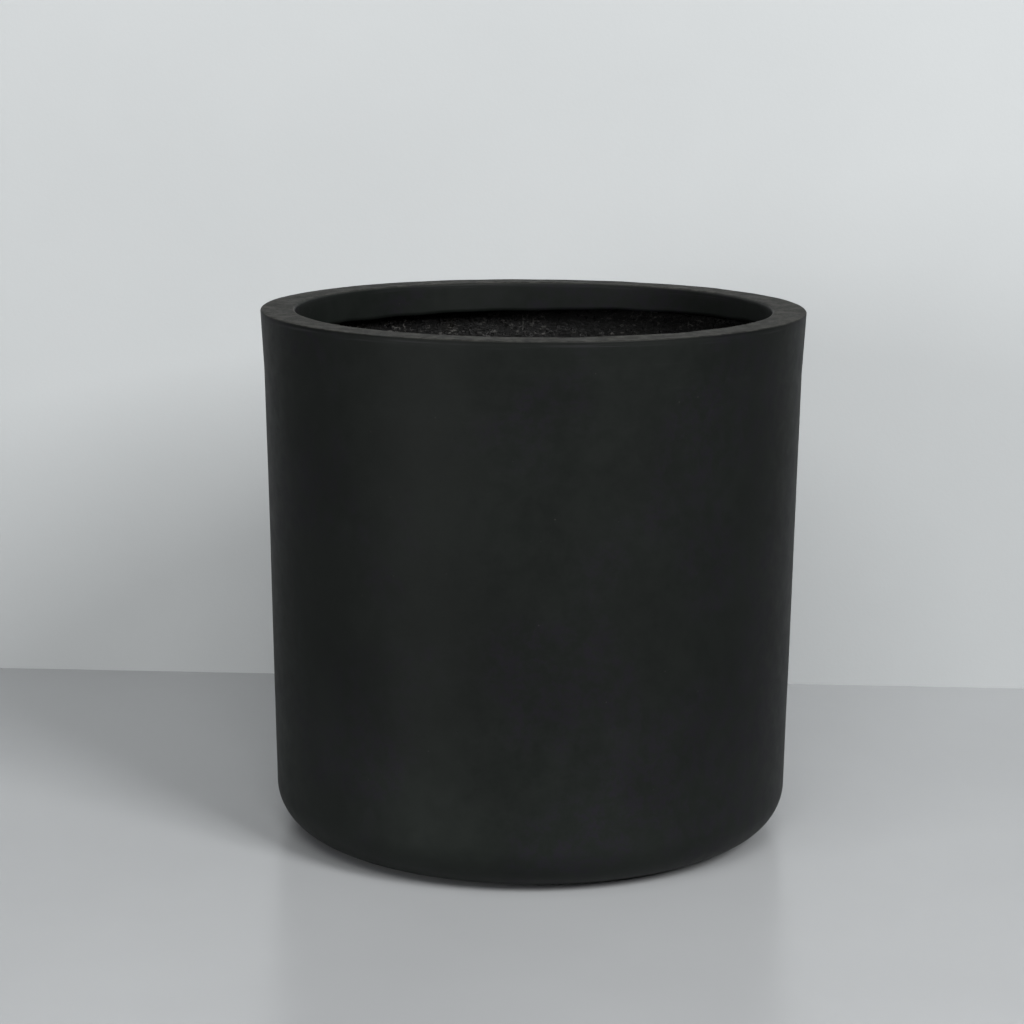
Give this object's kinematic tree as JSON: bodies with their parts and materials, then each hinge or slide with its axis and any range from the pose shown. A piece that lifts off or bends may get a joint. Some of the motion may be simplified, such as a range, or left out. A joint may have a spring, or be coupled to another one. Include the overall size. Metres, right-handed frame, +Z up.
{
  "type": "floor planter",
  "caption": "Round hollow floor planter with a softly rounded base edge, a wall that flares slightly to a thick flat rim, a mat-lined inside, a lift-out drain plug and rubber feet.",
  "frame": {"origin": "on the floor, below the middle of the planter", "axes": "+Z up along the planter's own axis; -Y towards the picture's camera; +X to its right"},
  "size_m": [0.4298, 0.4298, 0.42],
  "materials": {
    "moulded_skin": "matt charcoal gel coat over glass-fibre resin, faintly mottled",
    "resin_core": "coarse filled resin, trimmed by hand underneath",
    "woven_mat": "dark resin over coarse woven glass mat, rough",
    "plug_rubber": "matt black rubber",
    "foot_rubber": "matt black rubber"
  },
  "bodies": {
    "planter": {"outer_skin": "moulded_skin", "rim_core": "resin_core", "wall_lining": "woven_mat", "base_lining": "woven_mat", "foot_1": "foot_rubber", "foot_2": "foot_rubber", "foot_3": "foot_rubber", "foot_4": "foot_rubber", "foot_5": "foot_rubber"},
    "plug": {"drain_plug": "plug_rubber"}
  },
  "joints": [
    {"name": "plug_lift", "type": "slide", "parent": "planter", "child": "plug", "axis": [0, 0, 1], "range_m": [0, 0.45]}
  ]
}
